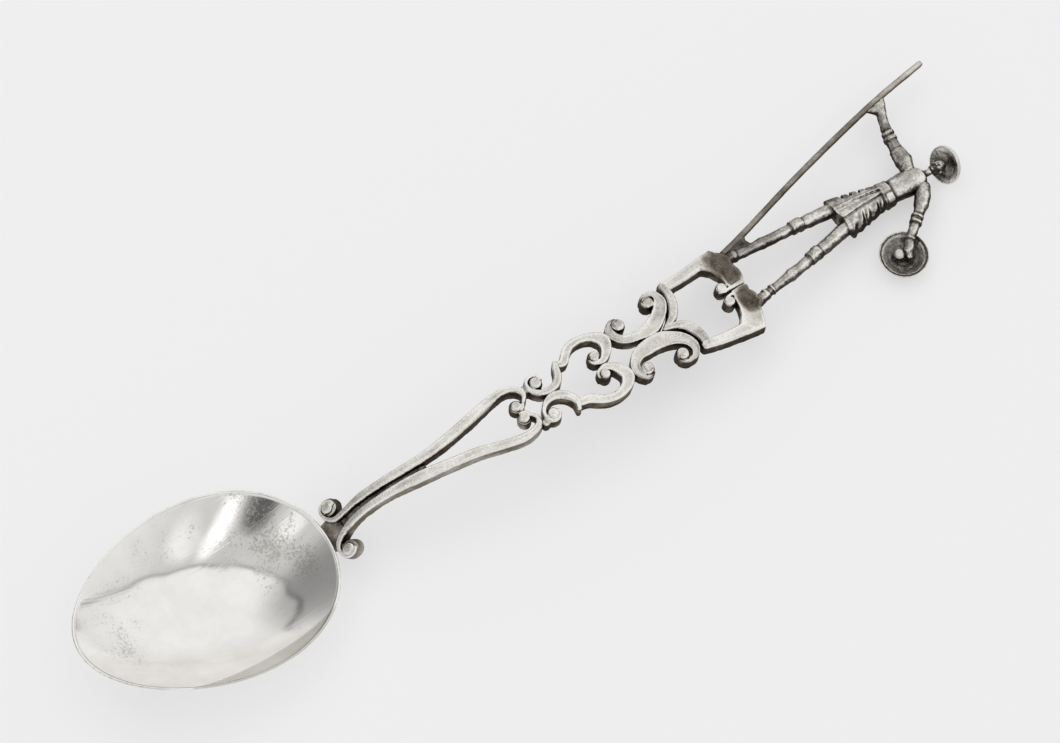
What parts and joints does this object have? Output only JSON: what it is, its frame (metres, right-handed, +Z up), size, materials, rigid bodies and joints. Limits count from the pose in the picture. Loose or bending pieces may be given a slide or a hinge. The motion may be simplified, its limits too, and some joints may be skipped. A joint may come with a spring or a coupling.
{
  "type": "souvenir spoon",
  "caption": "Silver souvenir spoon with an egg-shaped bowl, an openwork scroll handle and a standing warrior figure with lance, round shield and hat.",
  "frame": {"origin": "centre of the object's footprint on the surface it lies on", "axes": "+X from the bowl to the figure, +Y to the spoon's left, +Z up out of the bowl"},
  "size_m": [0.1417, 0.027, 0.0103],
  "materials": {
    "polished_silver": "polished, slightly tarnished",
    "worn_silver": "worn, dark in the recesses",
    "dark_silver": "tarnished cast silver",
    "solder": "blackened solder"
  },
  "bodies": {
    "root": {"bowl": "polished_silver", "bowl_heel": "solder", "stem_solder_seam": "solder", "left_stem_bar": "worn_silver", "right_stem_bar": "worn_silver", "left_shoulder_scroll": "worn_silver", "right_shoulder_scroll": "worn_silver", "left_pear_scroll": "worn_silver", "right_pear_scroll": "worn_silver", "left_c_scroll": "worn_silver", "right_c_scroll": "worn_silver", "left_outer_band": "worn_silver", "right_outer_band": "worn_silver", "left_frame_bracket": "worn_silver", "right_frame_bracket": "worn_silver", "lance": "worn_silver", "warrior_body": "dark_silver", "warrior_head": "dark_silver", "raised_left_arm": "dark_silver", "lowered_right_arm": "dark_silver", "hat": "dark_silver", "lance_foot": "dark_silver", "shield": "dark_silver", "shield_knob": "dark_silver"}
  },
  "joints": []
}
